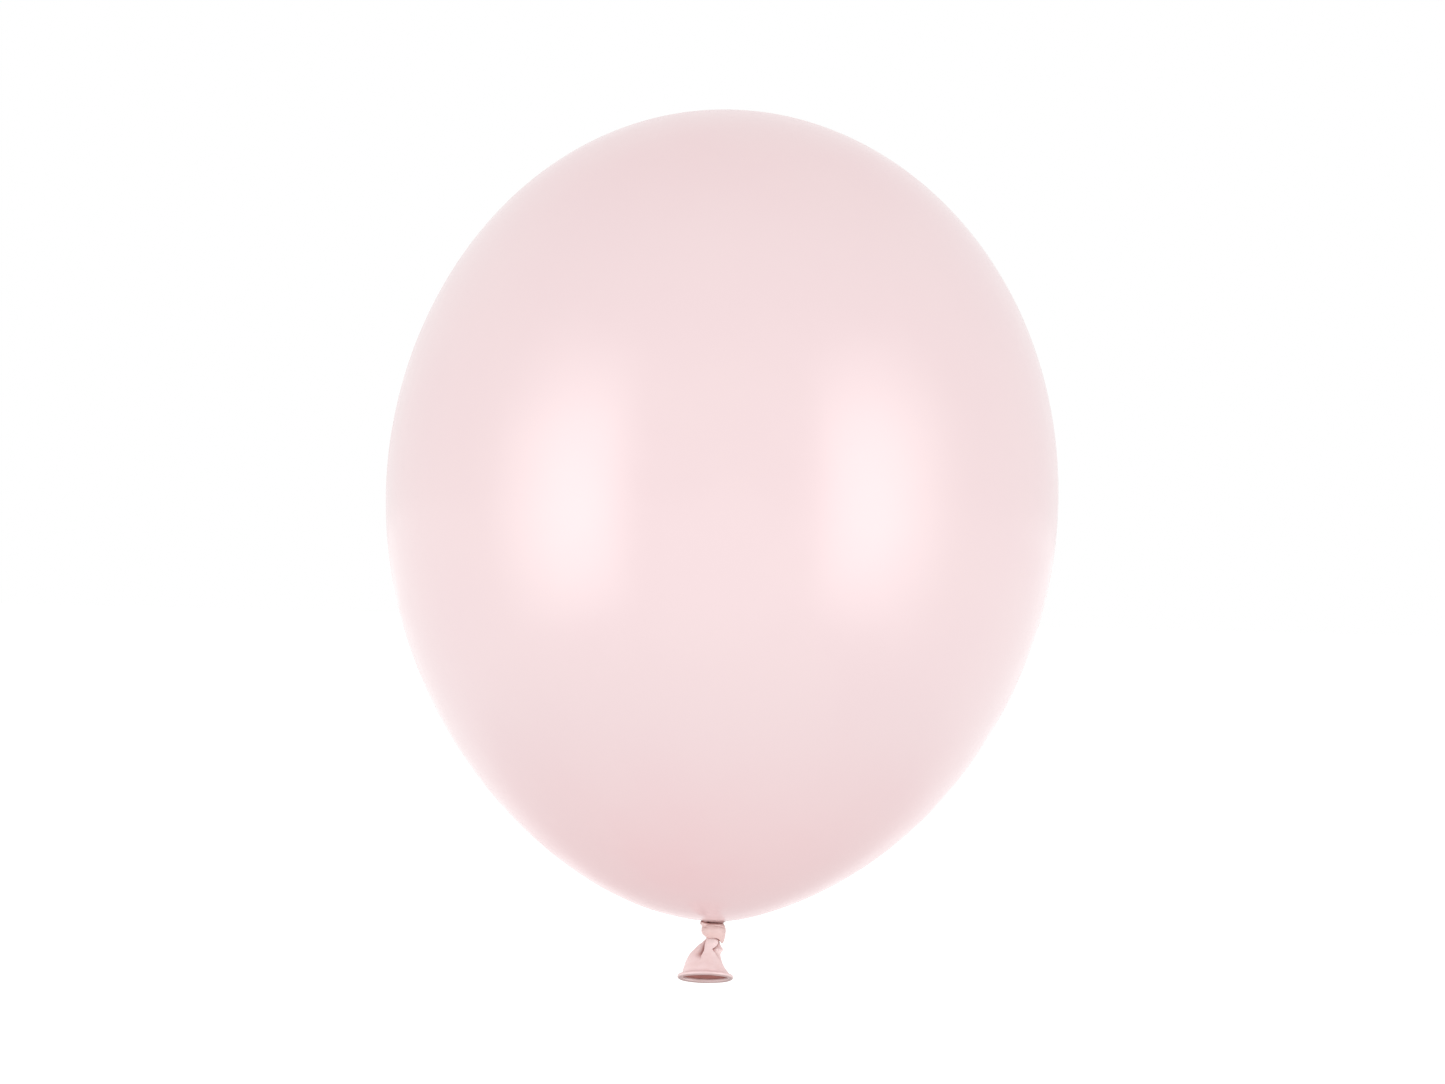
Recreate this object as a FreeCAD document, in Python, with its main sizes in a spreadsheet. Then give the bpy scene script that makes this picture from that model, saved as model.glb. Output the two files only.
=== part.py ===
"""A 30 cm latex balloon, blown up and tied, hanging by its knot with the mouth down.

The film is one moulded piece of latex. Its regions are separate solids here: the envelope, the
throat under it, the neck strand, the knot's core, collar and tuck, the tail's root, the tail's skirt
and the rolled bead round the mouth. Four hinges stand where the film bends.

Lengths are in millimetres. The origin is the tie point on the neck, +Z runs up to the crown, and
the mouth leans forward, towards -Y.
"""

import FreeCAD
import Part
import math
import os

import Sketcher

SIZES = {
    # Envelope: half a superellipse above its widest circle and half of another below it.
    "body_radius": 150.0,
    "crown_rise": 173.0,
    "belly_drop": 190.5,
    "belly_bottom": 1.0,
    "crown_power": 2.0,
    "belly_power": 1.68,
    "film_wall": 0.3,
    # Throat: where the envelope gathers in, closed below by a round seat.
    "throat_radius": 9.0,
    "seat_edge": 5.0,
    "seat_radius": 11.8,
    "throat_wall": 0.4,
    # Neck strand: the gathered film between the throat and the knot.
    "neck_pivot": 12.0,
    "running_gap": 0.25,
    "strand_radius": 2.2,
    "strand_depth": 3.4,
    # Knot.
    "knot_top": 0.5,
    "core_radius": 3.6,
    "fold_gap": 0.05,
    "collar_radius": 5.6,
    "collar_height": 6.2,
    "collar_shoulder": 3.9,
    "collar_middle": 3.3,
    "collar_tilt": 6.0,
    "collar_shift": 0.7,
    "tuck_ring_radius": 4.7,
    "tuck_thickness": 0.9,
    "tuck_depth": 6.6,
    "tuck_angle": 56.0,
    # Tail: a round root, a flaring skirt and a rolled oval bead.
    "tail_pivot": 7.6,
    "root_radius": 2.5,
    "socket_reach": 50.0,
    "skirt_reach": 60.0,
    "skirt_wall": 0.6,
    "skirt_hollow_start": 0.14,
    "skirt_sway_power": 0.3,
    "skirt_flare_power": 0.55,
    "mouth_x": -2.5,
    "mouth_y": -6.0,
    "mouth_depth": 22.4,
    "mouth_tilt": 19.2,
    "mouth_half_width": 11.5,
    "mouth_half_depth": 8.0,
    "bead_radius": 1.0,
}

OUTLINE_POINTS = 25
SKIRT_STATIONS = (0.0, 0.15, 0.4, 0.7, 1.0)

doc = FreeCAD.newDocument("latex_balloon")
sheet = doc.addObject("Spreadsheet::Sheet", "Sizes")
for row, (alias, number) in enumerate(SIZES.items(), start=1):
    sheet.set(f"A{row}", alias)
    sheet.set(f"B{row}", str(number))
    sheet.setAlias(f"B{row}", alias)
doc.recompute()


def size(alias):
    """The number that the sheet holds under an alias."""
    return float(sheet.get(alias))


def number(owner, expression):
    """What an expression on the sheet comes to, as a plain number."""
    result = owner.evalExpression(expression)
    return float(getattr(result, "Value", result))


def bind(owner, **expressions):
    """Bind an object's properties to expressions on the sheet."""
    for name, expression in expressions.items():
        owner.setExpression(name, expression)


def place(owner, x="0", y="0", z="0", turn_axis=None, turn="0"):
    """Bind an object's place, and its turn about turn_axis in degrees, to the sheet."""
    rotation = FreeCAD.Rotation(turn_axis or FreeCAD.Vector(0, 0, 1), number(owner, turn))
    base = FreeCAD.Vector(*(number(owner, part) for part in (x, y, z)))
    owner.Placement = FreeCAD.Placement(base, rotation)
    for axis, expression in (("x", x), ("y", y), ("z", z)):
        owner.setExpression(f"Placement.Base.{axis}", expression)
    if turn_axis is not None:
        owner.setExpression("Placement.Rotation.Angle", turn)


# ---------------------------------------------------------------- sketches and revolved solids


def new_sketch(body, name):
    """A sketch on the body's XZ plane: its x is the radius and its y is the height."""
    sketch = body.newObject("Sketcher::SketchObject", name)
    plane = next(f for f in body.Origin.OriginFeatures if f.Role == "XZ_Plane")
    sketch.AttachmentSupport = [(plane, "")]
    sketch.MapMode = "FlatFace"
    doc.recompute()
    return sketch


def pin_point(sketch, geometry, end, x, y):
    """Hold one end of a piece of sketch geometry at the expressions x and y."""
    for kind, axis_line, expression in (("DistanceX", -2, x), ("DistanceY", -1, y)):
        if expression == "0":
            sketch.addConstraint(Sketcher.Constraint("PointOnObject", geometry, end, axis_line))
        else:
            constraint = Sketcher.Constraint(kind, -1, 1, geometry, end, number(sketch, expression))
            index = sketch.addConstraint(constraint)
            sketch.setExpression(f"Constraints[{index}]", expression)


def draw_loop(sketch, corners):
    """Draw a closed loop of lines and arcs.

    Each corner is (x, y) for a line to the next corner, or (x, y, centre_y, radius) for an arc to
    it, whose centre lies on the vertical axis, or (x, y, centre_y, radius, centre_x) elsewhere.
    """
    ends = [FreeCAD.Vector(number(sketch, c[0]), number(sketch, c[1]), 0) for c in corners]
    count = len(corners)
    for i, corner in enumerate(corners):
        start, stop = ends[i], ends[(i + 1) % count]
        if len(corner) == 2:
            sketch.addGeometry(Part.LineSegment(start, stop), False)
            continue
        centre_x = corner[4] if len(corner) > 4 else "0"
        centre = FreeCAD.Vector(number(sketch, centre_x), number(sketch, corner[2]), 0)
        middle = (start + stop) * 0.5 - centre
        middle = centre + middle.normalize() * number(sketch, corner[3])
        sketch.addGeometry(Part.Arc(start, middle, stop), False)
    # The sketch counts every arc anticlockwise, so its first end may be either corner.
    first = [1 if sketch.getPoint(i, 1).distanceToPoint(ends[i]) < 1e-6 else 2
             for i in range(count)]
    for i in range(count):
        j = (i + 1) % count
        last = 3 - first[i]
        sketch.addConstraint(Sketcher.Constraint("Coincident", i, last, j, first[j]))
    for i, corner in enumerate(corners):
        pin_point(sketch, i, first[i], corner[0], corner[1])
        if len(corner) > 2:
            radius = Sketcher.Constraint("Radius", i, number(sketch, corner[3]))
            index = sketch.addConstraint(radius)
            sketch.setExpression(f"Constraints[{index}]", corner[3])


def revolve(body, sketch, name):
    """Turn a sketch a full circle about the body's Z axis."""
    feature = body.newObject("PartDesign::Revolution", name)
    feature.Profile = sketch
    feature.ReferenceAxis = (sketch, ["V_Axis"])
    feature.Angle = 360
    sketch.Visibility = False
    return feature


def turned_piece(label, corners):
    """A body whose only feature is one closed loop turned about Z."""
    body = doc.addObject("PartDesign::Body", label)
    sketch = new_sketch(body, label + "_profile")
    draw_loop(sketch, corners)
    revolve(body, sketch, label + "_turning")
    return body


# ---------------------------------------------------------------- envelope and throat


def belly_height(radius, inset=0.0):
    """The height of the belly's film at a radius; inset moves from its outside to its inside."""
    drop = size("belly_drop") - inset
    share = (radius / (size("body_radius") - inset)) ** size("belly_power")
    return size("belly_bottom") + size("belly_drop") - drop * math.sqrt(1.0 - share)


def outline(inset):
    """The envelope's outline from the crown down to the throat, as one smooth curve."""
    radius = size("body_radius") - inset
    equator = size("belly_bottom") + size("belly_drop")
    throat_height = belly_height(size("throat_radius"), inset)
    throat_turn = math.asin((equator - throat_height) / (size("belly_drop") - inset))
    points = []
    for i in range(OUTLINE_POINTS):
        turn = math.pi / 2 - (math.pi / 2 + throat_turn) * i / (OUTLINE_POINTS - 1)
        upper = turn > 0
        reach = (size("crown_rise") if upper else size("belly_drop")) - inset
        power = size("crown_power" if upper else "belly_power")
        across = radius * math.cos(turn) ** (2.0 / power)
        points.append(FreeCAD.Vector(across, equator + reach * math.sin(turn), 0))
    points[0].x = 0.0
    curve = Part.BSplineCurve()
    curve.interpolate(points)
    return curve, points[0], points[-1]


def make_envelope():
    """The blown-up film, open at the throat, which closes it."""
    body = doc.addObject("PartDesign::Body", "envelope")
    sketch = new_sketch(body, "envelope_profile")
    outer, outer_crown, outer_throat = outline(0.0)
    inner, inner_crown, inner_throat = outline(size("film_wall"))
    sketch.addGeometry(outer, False)
    sketch.addGeometry(Part.LineSegment(outer_throat, inner_throat), False)
    sketch.addGeometry(inner, False)
    sketch.addGeometry(Part.LineSegment(inner_crown, outer_crown), False)
    for a, a_end, b, b_end in ((0, 2, 1, 1), (1, 2, 2, 2), (2, 1, 3, 1), (3, 2, 0, 1)):
        sketch.addConstraint(Sketcher.Constraint("Coincident", a, a_end, b, b_end))
    crown = "Sizes.belly_bottom + Sizes.belly_drop + Sizes.crown_rise"
    pin_point(sketch, 0, 1, "0", crown)
    pin_point(sketch, 2, 1, "0", crown + " - Sizes.film_wall")
    for geometry, height in ((0, outer_throat.y), (2, inner_throat.y)):
        pin_point(sketch, geometry, 2, "Sizes.throat_radius", str(height))
    revolve(body, sketch, "envelope_turning")
    return body


def make_throat():
    """The gathered end of the envelope, with a round seat below that the neck rocks on."""
    edge = str(belly_height(size("throat_radius")))
    inner_edge = str(belly_height(size("throat_radius"), size("film_wall")))
    seat_height = "Sizes.neck_pivot - sqrt(Sizes.seat_radius^2 - Sizes.seat_edge^2)"
    inner_seat = "(Sizes.seat_radius - Sizes.throat_wall)"
    inner_height = f"Sizes.neck_pivot - sqrt({inner_seat}^2 - Sizes.seat_edge^2)"
    return turned_piece("throat", [
        ("Sizes.throat_radius", edge),
        ("Sizes.seat_edge", seat_height, "Sizes.neck_pivot", "Sizes.seat_radius"),
        ("0", "Sizes.neck_pivot - Sizes.seat_radius"),
        ("0", f"Sizes.neck_pivot - {inner_seat}", "Sizes.neck_pivot", inner_seat),
        ("Sizes.seat_edge", inner_height),
        ("Sizes.throat_radius", inner_edge),
    ])


# ---------------------------------------------------------------- neck and knot


def make_neck_strand():
    """The gathered film between throat and knot: its hollow top rides on the throat's seat."""
    cup = "Sizes.seat_radius + Sizes.running_gap"
    rim = f"Sizes.neck_pivot - sqrt(({cup})^2 - Sizes.strand_radius^2)"
    return turned_piece("neck_strand", [
        ("0", f"Sizes.neck_pivot - ({cup})", "Sizes.neck_pivot", cup),
        ("Sizes.strand_radius", rim),
        ("Sizes.strand_radius", "-Sizes.strand_depth"),
        ("0", "-Sizes.strand_depth"),
    ])


def make_knot_core():
    """The knot's inner loop, bored for the strand above and hollowed for the tail's root below."""
    bore = "Sizes.strand_radius + Sizes.running_gap"
    bore_end = "-Sizes.strand_depth - Sizes.running_gap"
    socket = "(Sizes.root_radius + Sizes.running_gap)"
    rim_x = f"{socket} * sin(Sizes.socket_reach * 1 deg)"
    rim_y = f"-Sizes.tail_pivot + {socket} * cos(Sizes.socket_reach * 1 deg)"
    return turned_piece("knot_core", [
        (bore, "-Sizes.knot_top"),
        ("Sizes.core_radius", "-Sizes.knot_top"),
        ("Sizes.core_radius", rim_y),
        (rim_x, rim_y, "-Sizes.tail_pivot", socket),
        ("0", f"-Sizes.tail_pivot + {socket}"),
        ("0", bore_end),
        (bore, bore_end),
    ])


def make_knot_collar():
    """The film's outer wrap round the core: a bulging band, lower at the right."""
    barrel = doc.addObject("PartDesign::Body", "knot_collar_barrel")
    sketch = new_sketch(barrel, "knot_collar_profile")
    half = "Sizes.collar_height / 2"
    bulge = "(Sizes.collar_radius - Sizes.collar_shoulder)"
    bulge_radius = f"(({bulge}^2 + ({half})^2) / (2 * {bulge}))"
    bulge_centre = f"Sizes.collar_radius - {bulge_radius}"
    draw_loop(sketch, [
        ("0", half),
        ("Sizes.collar_shoulder", half, "0", bulge_radius, bulge_centre),
        ("Sizes.collar_shoulder", f"-{half}"),
        ("0", f"-{half}"),
    ])
    revolve(barrel, sketch, "knot_collar_turning")
    doc.recompute()
    across = FreeCAD.Vector(0, 1, 0)
    place(barrel, x="Sizes.collar_shift", z="-Sizes.collar_middle", turn_axis=across,
          turn="Sizes.collar_tilt")
    bore = doc.addObject("Part::Cylinder", "knot_collar_bore")
    bind(bore, Radius="Sizes.core_radius + Sizes.fold_gap", Height="4 * Sizes.collar_height")
    place(bore, z="-2 * Sizes.collar_height")
    return cut("knot_collar", barrel, bore)


def make_knot_tuck(collar):
    """The end of the wrap, tucked under the collar at the right beside the tail's root."""
    ring = doc.addObject("Part::Torus", "knot_tuck_ring")
    bind(ring, Radius1="Sizes.tuck_ring_radius", Radius2="Sizes.tuck_thickness",
         Angle3="Sizes.tuck_angle")
    upright = FreeCAD.Vector(0, 0, 1)
    place(ring, z="-Sizes.tuck_depth", turn_axis=upright, turn="-Sizes.tuck_angle / 2")
    room = doc.addObject("Part::Sphere", "knot_tuck_room")
    bind(room, Radius="Sizes.core_radius + Sizes.fold_gap")
    place(room, z="-Sizes.tail_pivot")
    beside_root = cut("knot_tuck_beside_root", ring, room)
    return cut("knot_tuck", beside_root, collar)


def cut(label, base, tool):
    """One object less another."""
    feature = doc.addObject("Part::Cut", label)
    feature.Base = base
    feature.Tool = tool
    return feature


# ---------------------------------------------------------------- tail


def make_tail_root():
    """The bunched film where the tail leaves the knot, round so that it can turn in it."""
    ball = doc.addObject("Part::Sphere", "tail_root")
    bind(ball, Radius="Sizes.root_radius")
    place(ball, z="-Sizes.tail_pivot")
    return ball


def skirt_section(name, share, inset):
    """An oval across the skirt: share runs from 0 at the root to 1 at the bead."""
    reach = "Sizes.skirt_reach * 1 deg"
    seat = "(Sizes.root_radius + Sizes.running_gap)"
    top_radius = f"({seat} * sin({reach}) + Sizes.skirt_wall)"
    top_depth = f"(Sizes.tail_pivot + {seat} * cos({reach}))"
    tilt = "Sizes.mouth_tilt * 1 deg"
    end_y = f"(Sizes.mouth_y + Sizes.bead_radius * sin({tilt}))"
    end_depth = f"(Sizes.mouth_depth - Sizes.bead_radius * cos({tilt}))"
    flare = share ** size("skirt_flare_power")
    sway = share ** size("skirt_sway_power")
    oval = doc.addObject("Part::Ellipse", name)
    bind(oval,
         MajorRadius=f"{top_radius} + (Sizes.mouth_half_width - {top_radius}) * {flare} - {inset}",
         MinorRadius=f"{top_radius} + (Sizes.mouth_half_depth - {top_radius}) * {share} - {inset}")
    place(oval, x=f"Sizes.mouth_x * {sway}", y=f"{end_y} * {share}",
          z=f"-{top_depth} - ({end_depth} - {top_depth}) * {share}",
          turn_axis=FreeCAD.Vector(-1, 0, 0), turn=f"Sizes.mouth_tilt * {share}")
    return oval


def skirt_loft(name, stations, inset):
    """A smooth solid through the skirt's ovals."""
    loft = doc.addObject("Part::Loft", name)
    loft.Sections = [skirt_section(f"{name}_oval_{i}", share, inset)
                     for i, share in enumerate(stations)]
    loft.Solid = True
    loft.Ruled = False
    return loft


def make_tail_skirt():
    """The loose film from the root to the mouth, hollow and open below."""
    outside = skirt_loft("skirt_outside", SKIRT_STATIONS, "0")
    inner_stations = (size("skirt_hollow_start"),) + SKIRT_STATIONS[2:]
    inside = skirt_loft("skirt_inside", inner_stations, "Sizes.skirt_wall")
    seat = doc.addObject("Part::Sphere", "skirt_seat")
    bind(seat, Radius="Sizes.root_radius + Sizes.running_gap")
    place(seat, z="-Sizes.tail_pivot")
    hollow = cut("skirt_hollow", outside, inside)
    return cut("tail_skirt", hollow, seat)


def make_mouth_bead():
    """The rolled ring round the mouth: a round section carried along the mouth's oval."""
    spine = doc.addObject("Part::Ellipse", "bead_spine")
    bind(spine, MajorRadius="Sizes.mouth_half_width", MinorRadius="Sizes.mouth_half_depth")
    across = FreeCAD.Vector(-1, 0, 0)
    centre = {"y": "Sizes.mouth_y", "z": "-Sizes.mouth_depth"}
    place(spine, x="Sizes.mouth_x", turn_axis=across, turn="Sizes.mouth_tilt", **centre)
    section = doc.addObject("Part::Circle", "bead_section")
    bind(section, Radius="Sizes.bead_radius")
    place(section, x="Sizes.mouth_x + Sizes.mouth_half_width", turn_axis=across,
          turn="Sizes.mouth_tilt + 90", **centre)
    doc.recompute()
    bead = doc.addObject("Part::Sweep", "mouth_bead")
    bead.Sections = [section]
    bead.Spine = (spine, ["Edge1"])
    bead.Solid = True
    bead.Frenet = True
    return bead


# ---------------------------------------------------------------- build, check and write

collar = make_knot_collar()
pieces = {
    "envelope": make_envelope(),
    "throat": make_throat(),
    "neck_strand": make_neck_strand(),
    "knot_core": make_knot_core(),
    "knot_collar": collar,
    "knot_tuck": make_knot_tuck(collar),
    "tail_root": make_tail_root(),
    "tail_skirt": make_tail_skirt(),
    "mouth_bead": make_mouth_bead(),
}
doc.recompute()

for item in doc.Objects:
    failed = {"Invalid", "Error"} & set(item.State)
    if failed:
        raise RuntimeError(f"{item.Label} did not build: {failed}")

os.makedirs("parts", exist_ok=True)
for node, piece in pieces.items():
    piece.Label = node
    shape = piece.Shape
    if shape.isNull() or not shape.isValid() or len(shape.Solids) != 1:
        raise RuntimeError(f"{node} is not one valid solid")
    shape.exportStep(f"parts/{node}.step")
    box = shape.BoundBox
    print(f"{node}: {shape.Volume:.2f} mm3, x {box.XMin:.2f} to {box.XMax:.2f},"
          f" y {box.YMin:.2f} to {box.YMax:.2f}, z {box.ZMin:.2f} to {box.ZMax:.2f}")
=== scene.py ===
"""Looks of a tied 30 cm latex balloon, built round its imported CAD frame.

Lengths in this script are millimetres until a mesh is made, and metres from then on and in the
studio. The balloon hangs mouth down: +Z is up to the crown and -Y is the front. Angles round the
axis are in degrees: 0 is the right (+X), -90 the front, 180 the left and 90 the back.
"""

import math

import bpy
import numpy as np
from mathutils import Matrix, Vector


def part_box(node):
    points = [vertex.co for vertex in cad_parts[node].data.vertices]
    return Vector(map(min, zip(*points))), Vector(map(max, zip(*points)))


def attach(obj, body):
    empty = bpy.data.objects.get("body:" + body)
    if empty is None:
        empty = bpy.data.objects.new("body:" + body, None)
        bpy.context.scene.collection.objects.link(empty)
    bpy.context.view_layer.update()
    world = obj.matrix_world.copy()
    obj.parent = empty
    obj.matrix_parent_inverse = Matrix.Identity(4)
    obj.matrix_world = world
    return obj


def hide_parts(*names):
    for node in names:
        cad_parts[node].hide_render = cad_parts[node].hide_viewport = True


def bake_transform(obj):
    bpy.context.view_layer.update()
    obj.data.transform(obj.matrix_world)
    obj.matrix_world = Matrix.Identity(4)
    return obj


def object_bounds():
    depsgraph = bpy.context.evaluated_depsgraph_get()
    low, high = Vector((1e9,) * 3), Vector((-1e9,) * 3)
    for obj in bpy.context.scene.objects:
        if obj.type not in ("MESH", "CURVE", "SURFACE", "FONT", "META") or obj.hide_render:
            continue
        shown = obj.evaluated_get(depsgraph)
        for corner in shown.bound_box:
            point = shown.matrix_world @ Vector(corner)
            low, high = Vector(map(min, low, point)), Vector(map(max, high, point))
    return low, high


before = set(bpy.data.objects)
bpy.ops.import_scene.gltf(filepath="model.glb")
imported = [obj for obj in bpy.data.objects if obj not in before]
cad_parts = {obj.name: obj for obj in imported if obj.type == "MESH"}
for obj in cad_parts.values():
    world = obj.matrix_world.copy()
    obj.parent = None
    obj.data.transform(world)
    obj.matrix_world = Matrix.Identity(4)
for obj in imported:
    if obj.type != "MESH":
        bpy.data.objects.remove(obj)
cad_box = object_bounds()

MM = 0.001
SEED = 12
RIGHT, FRONT, LEFT, BACK = 0, -90, 180, 90


# ---------------------------------------------------------------- small tools


def smooth_curve(before, start, stop, after, share):
    """The Catmull-Rom curve from start to stop, a share of the way along."""
    return 0.5 * (2 * start + (stop - before) * share
                  + (2 * before - 5 * start + 4 * stop - after) * share ** 2
                  + (3 * start - before - 3 * stop + after) * share ** 3)


def spline(points, count):
    """Count points along a smooth open curve through the given ones."""
    through = np.asarray(points, float)
    through = np.vstack([2 * through[0] - through[1], through, 2 * through[-1] - through[-2]])
    along = np.linspace(0, len(through) - 3, count)
    span = np.clip(along.astype(int), 0, len(through) - 4)
    share = (along - span)[:, None]
    return smooth_curve(through[span], through[span + 1], through[span + 2], through[span + 3],
                        share)


def closed_spline(points, count):
    """Count points round a smooth closed loop through the given ones."""
    through = np.asarray(points, float)
    total = len(through)
    along = np.arange(count) * total / count
    span = along.astype(int)
    share = (along - span)[:, None]
    return smooth_curve(through[(span - 1) % total], through[span % total],
                        through[(span + 1) % total], through[(span + 2) % total], share)


def apart(angles, centre):
    """Signed difference of angles in degrees, from -180 to 180."""
    return (np.asarray(angles) - centre + 180) % 360 - 180


def bump(distance, width):
    """A smooth hill of height 1 where the distance is 0."""
    return np.exp(-(distance / width) ** 2)


def step(value):
    """0 below 0, 1 above 1, smooth in between."""
    share = np.clip(value, 0, 1)
    return share * share * (3 - 2 * share)


def around(count):
    """Evenly spaced angles in degrees."""
    return np.arange(count) * 360.0 / count


def mesh_piece(name, rows, ring=False, poles=False):
    """A piece of the balloon from rows of points that each run once round.

    ring joins the last row to the first, as on a tube's wall; poles closes both ends with a point.
    """
    rows = np.asarray(rows, float) * MM
    count, sides = rows.shape[:2]
    vertices = rows.reshape(-1, 3)
    faces = []
    for row in range(count if ring else count - 1):
        low = row * sides
        high = (row + 1) % count * sides
        for side in range(sides):
            beside = (side + 1) % sides
            faces.append((low + side, low + beside, high + beside, high + side))
    if poles:
        vertices = np.vstack([vertices, rows[0].mean(0), rows[-1].mean(0)])
        first_pole = count * sides
        last_row = (count - 1) * sides
        for side in range(sides):
            beside = (side + 1) % sides
            faces.append((first_pole, beside, side))
            faces.append((first_pole + 1, last_row + side, last_row + beside))
    mesh = bpy.data.meshes.new(name)
    mesh.from_pydata(vertices.tolist(), [], faces)
    mesh.validate()
    if signed_volume(mesh) < 0:
        mesh.flip_normals()
    mesh.shade_smooth()
    piece = bpy.data.objects.new(name, mesh)
    bpy.context.scene.collection.objects.link(piece)
    return piece


def signed_volume(mesh):
    """Six times the volume inside a closed mesh; below 0 if its faces look inwards."""
    mesh.calc_loop_triangles()
    points = np.array([vertex.co for vertex in mesh.vertices])
    first, second, third = (points[[triangle.vertices[corner] for triangle in mesh.loop_triangles]]
                            for corner in range(3))
    return float(np.einsum("ij,ij->", first, np.cross(second, third)))


# ---------------------------------------------------------------- the blown-up film

envelope_low, envelope_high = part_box("envelope")
BODY_RADIUS = (envelope_high.x - envelope_low.x) / 2 / MM
CROWN_HEIGHT = envelope_high.z / MM
CROWN_RISE = 1.1533 * BODY_RADIUS
BELLY_DROP = 1.264 * BODY_RADIUS
CROWN_POWER = 2.0
BELLY_POWER = 1.715
EQUATOR = CROWN_HEIGHT - CROWN_RISE
ENVELOPE_SIDES = 224
ENVELOPE_ROWS = 150
FILM_WALL = 0.3

# The lip, in which the belly ends above the knot.
BELLY_END = 11.0
LIP_RADIUS = 5.2
LIP_ROWS = 56
LIP_BACK_ROWS = 24
LIP_SHIFT = 0.6
LIP_FULL = 6.0

# How far the lip is lifted all round, more at the front and less at the right, and the radius
# where that starts and over how much it comes in.
LIP_LIFT, LIP_FRONT_LIFT, LIP_RIGHT_DROP = 0.1, 0.35, 0.2
LIP_LIFT_START, LIP_LIFT_RAMP = 13.0, 7.0

# A notch in the lip's edge: its depth, angle and width, and where it starts and comes in.
NOTCH_DEPTH, NOTCH_ANGLE, NOTCH_WIDTH = 0.3, -121, 11
NOTCH_START, NOTCH_RAMP = 7.0, 1.5

# Small sideways leans: how far, about which height, and how far up and down it spreads. The lean
# of the bottom leaves out the neck: it starts at a radius and comes in over a ramp.
SHOULDER_LEAN, SHOULDER_HEIGHT, SHOULDER_SPREAD = 0.8, 285.0, 75.0
BOTTOM_LEAN, BOTTOM_HEIGHT, BOTTOM_SPREAD = 1.2, 4.0, 24.0
BOTTOM_START, BOTTOM_RAMP = 9.0, 24.0

# The gathers: from which radius they deepen to which, and below which height.
GATHER_COUNT = 17
GATHER_DEPTH = 0.22
GATHER_WIDTH = 150.0
GATHER_START = 26.0
GATHER_FULL = 5.5
GATHER_TOP = 14.0
GATHER_FADE = 6.0

THROAT_ROWS = 48
THROAT_FOLD = 0.09
THROAT_BEND_START = -2.0
THROAT_BEND_LENGTH = 3.0


def belly_height(radius, inset=0.0):
    """Height of the film at a radius below the equator."""
    drop = BELLY_DROP - inset
    share = (radius / (BODY_RADIUS - inset)) ** BELLY_POWER
    return EQUATOR - drop * math.sqrt(1.0 - share)


def envelope_profile(inset, end_radius, count):
    """(radius, height) pairs from the crown down to where the belly has end_radius."""
    drop = BELLY_DROP - inset
    end_turn = math.asin((EQUATOR - belly_height(end_radius, inset)) / drop)
    turn = math.pi / 2 - (math.pi / 2 + end_turn) * np.linspace(0, 1, count + 1)[1:]
    upper = turn > 0
    reach = np.where(upper, CROWN_RISE, BELLY_DROP) - inset
    power = np.where(upper, CROWN_POWER, BELLY_POWER)
    radius = (BODY_RADIUS - inset) * np.cos(turn) ** (2 / power)
    return np.stack([radius, EQUATOR + reach * np.sin(turn)], 1)


def turned(profile, sides):
    """Rows of points for a profile turned about the axis."""
    angle = np.radians(around(sides))
    ring = np.stack([np.cos(angle), np.sin(angle)], 1)
    rows = np.zeros((len(profile), sides, 3))
    rows[..., :2] = profile[:, None, :1] * ring[None]
    rows[..., 2] = profile[:, None, 1]
    return rows


def gathers(angles):
    """Uneven pleats round the axis, between -1 and 1."""
    random = np.random.default_rng(SEED)
    numbers = np.arange(GATHER_COUNT) + random.uniform(-0.3, 0.3, GATHER_COUNT)
    places = numbers * 360.0 / GATHER_COUNT
    depths = random.uniform(0.5, 1.0, GATHER_COUNT)
    width = GATHER_WIDTH / GATHER_COUNT
    total = sum(depth * bump(apart(angles, where), width) for where, depth in zip(places, depths))
    return 1 - 2 * np.clip(total, 0, 1)


def gathered(rows):
    """Gather the film towards the neck, lean it a little and make its lip uneven.

    The shoulder leans to the right, the belly's bottom to the left and the neck to the right again.
    """
    radius = np.hypot(rows[..., 0], rows[..., 1])
    angle = np.degrees(np.arctan2(rows[..., 1], rows[..., 0]))
    height = rows[..., 2]
    share = step((GATHER_START - radius) / (GATHER_START - GATHER_FULL))
    low = step((GATHER_TOP - height) / GATHER_FADE)
    depth = GATHER_DEPTH * share * gathers(angle)
    off_neck = step((radius - BOTTOM_START) / BOTTOM_RAMP)
    lip = step((LIP_LIFT_START - radius) / LIP_LIFT_RAMP) * low
    uneven = (LIP_LIFT + LIP_FRONT_LIFT * bump(apart(angle, FRONT), 50)
              - LIP_RIGHT_DROP * bump(apart(angle, RIGHT), 45))
    notch = NOTCH_DEPTH * bump(apart(angle, NOTCH_ANGLE), NOTCH_WIDTH)
    notch *= step((NOTCH_START - radius) / NOTCH_RAMP)
    rows = rows.copy()
    rows[..., :2] *= (1 + depth * low / np.maximum(radius, 1.0))[..., None]
    rows[..., 0] += SHOULDER_LEAN * bump(height - SHOULDER_HEIGHT, SHOULDER_SPREAD)
    rows[..., 0] -= BOTTOM_LEAN * bump(height - BOTTOM_HEIGHT, BOTTOM_SPREAD) * off_neck
    rows[..., 0] += LIP_SHIFT * low * step((GATHER_START - radius) / (GATHER_START - LIP_FULL))
    rows[..., 2] += lip * (uneven + notch)
    return rows


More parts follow.
